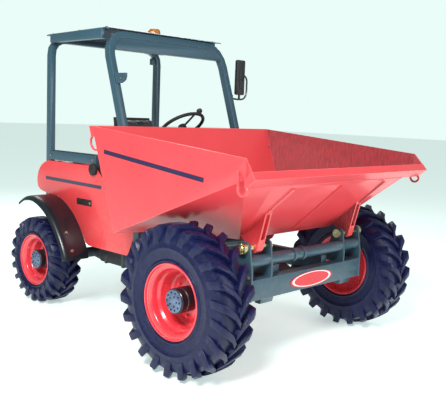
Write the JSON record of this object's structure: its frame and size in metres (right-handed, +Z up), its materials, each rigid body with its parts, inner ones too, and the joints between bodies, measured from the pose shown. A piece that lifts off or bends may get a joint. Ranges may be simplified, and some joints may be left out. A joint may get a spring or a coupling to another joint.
{
  "type": "site dumper",
  "caption": "Rough-terrain site dumper with a forward-tipping skip, rear-wheel steering and a four-post canopy over the seat.",
  "frame": {"origin": "on the floor under the middle of the machine's length and width", "axes": "+Z up, -Y the way it drives with the skip in front, +X its left side"},
  "size_m": [2.09, 2.97, 2.3258],
  "materials": {
    "red": "gloss coral red paint",
    "teal": "satin slate teal paint",
    "black": "matt black",
    "steel": "bare steel",
    "iron": "grey cast iron",
    "amber": "amber lens",
    "chrome": "hard chrome",
    "tyre": "black rubber"
  },
  "bodies": {
    "chassis": {"chassis_rails": "teal", "front_frame": "teal", "badge_plate": "red", "tip_pin_right": "steel", "tip_pin_left": "steel", "front_axle": "iron", "rear_axle": "iron", "mudguard_right": "black", "mudguard_left": "black", "side_panel_right": "red", "side_panel_left": "red", "engine_cover": "red", "floor_plate": "black", "console": "black", "steering_column": "black", "seat_cushion": "black", "seat_back": "black", "front_hoop": "teal", "rear_hoop": "teal", "roof_panel": "teal", "beacon_base": "black", "beacon_dome": "amber", "mirror": "black", "engine_block": "iron", "transmission": "iron", "fuel_tank": "black", "oil_tank": "black", "tip_lever": "black"},
    "skip": {"skip_tub": "red"},
    "ram_barrel": {"ram_barrel": "teal"},
    "ram_rod": {"ram_rod": "chrome"},
    "tie_rod": {"tie_rod": "steel"},
    "steering_wheel": {"steering_wheel": "black"},
    "wheel_front_left": {"tyre_front_left": "tyre", "rim_front_left": "red"},
    "knuckle_left": {"knuckle_left": "iron"},
    "wheel_rear_left": {"tyre_rear_left": "tyre", "rim_rear_left": "red"},
    "wheel_front_right": {"tyre_front_right": "tyre", "rim_front_right": "red"},
    "knuckle_right": {"knuckle_right": "iron"},
    "wheel_rear_right": {"tyre_rear_right": "tyre", "rim_rear_right": "red"}
  },
  "joints": [
    {"name": "skip_tip", "type": "hinge", "parent": "chassis", "child": "skip", "pos_m": [0, -1.115, 0.805], "axis": [1, 0, 0], "range_deg": [0, 65]},
    {"name": "ram_pivot", "type": "hinge", "parent": "chassis", "child": "ram_barrel", "pos_m": [0, -0.045, 0.585], "axis": [1, 0, 0], "range_deg": [-20, 2]},
    {"name": "ram_extend", "type": "slide", "parent": "ram_barrel", "child": "ram_rod", "axis": [0, -0.9685, 0.249], "range_m": [0, 0.32]},
    {"name": "spin_front_left", "type": "hinge", "parent": "chassis", "child": "wheel_front_left", "pos_m": [0.905, -0.895, 0.4825], "axis": [1, 0, 0], "continuous": true},
    {"name": "steer_left", "type": "hinge", "parent": "chassis", "child": "knuckle_left", "pos_m": [0.42, 1.125, 0.36], "axis": [0, 0, 1], "range_deg": [-30, 30]},
    {"name": "spin_rear_left", "type": "hinge", "parent": "knuckle_left", "child": "wheel_rear_left", "pos_m": [0.635, 1.125, 0.36], "axis": [1, 0, 0], "continuous": true},
    {"name": "spin_front_right", "type": "hinge", "parent": "chassis", "child": "wheel_front_right", "pos_m": [-0.905, -0.895, 0.4825], "axis": [1, 0, 0], "continuous": true},
    {"name": "steer_right", "type": "hinge", "parent": "chassis", "child": "knuckle_right", "pos_m": [-0.42, 1.125, 0.36], "axis": [0, 0, 1], "range_deg": [-30, 30]},
    {"name": "spin_rear_right", "type": "hinge", "parent": "knuckle_right", "child": "wheel_rear_right", "pos_m": [-0.635, 1.125, 0.36], "axis": [1, 0, 0], "continuous": true},
    {"name": "tie_rod_slide", "type": "slide", "parent": "chassis", "child": "tie_rod", "axis": [1, 0, 0], "range_m": [-0.075, 0.075]},
    {"name": "steering_wheel_turn", "type": "hinge", "parent": "chassis", "child": "steering_wheel", "pos_m": [0.08, 0.245, 1.52], "axis": [0, 0.5736, 0.8192], "range_deg": [-480, 480]}
  ],
  "couplings": [
    {"joint": "ram_pivot", "follows": "skip_tip", "ratio": -0.2633},
    {"joint": "ram_extend", "follows": "skip_tip", "m_per_rad": 0.2703},
    {"joint": "steer_right", "follows": "steer_left", "ratio": 1},
    {"joint": "tie_rod_slide", "follows": "steer_left", "m_per_rad": -0.128},
    {"joint": "steering_wheel_turn", "follows": "steer_left", "ratio": -15}
  ]
}
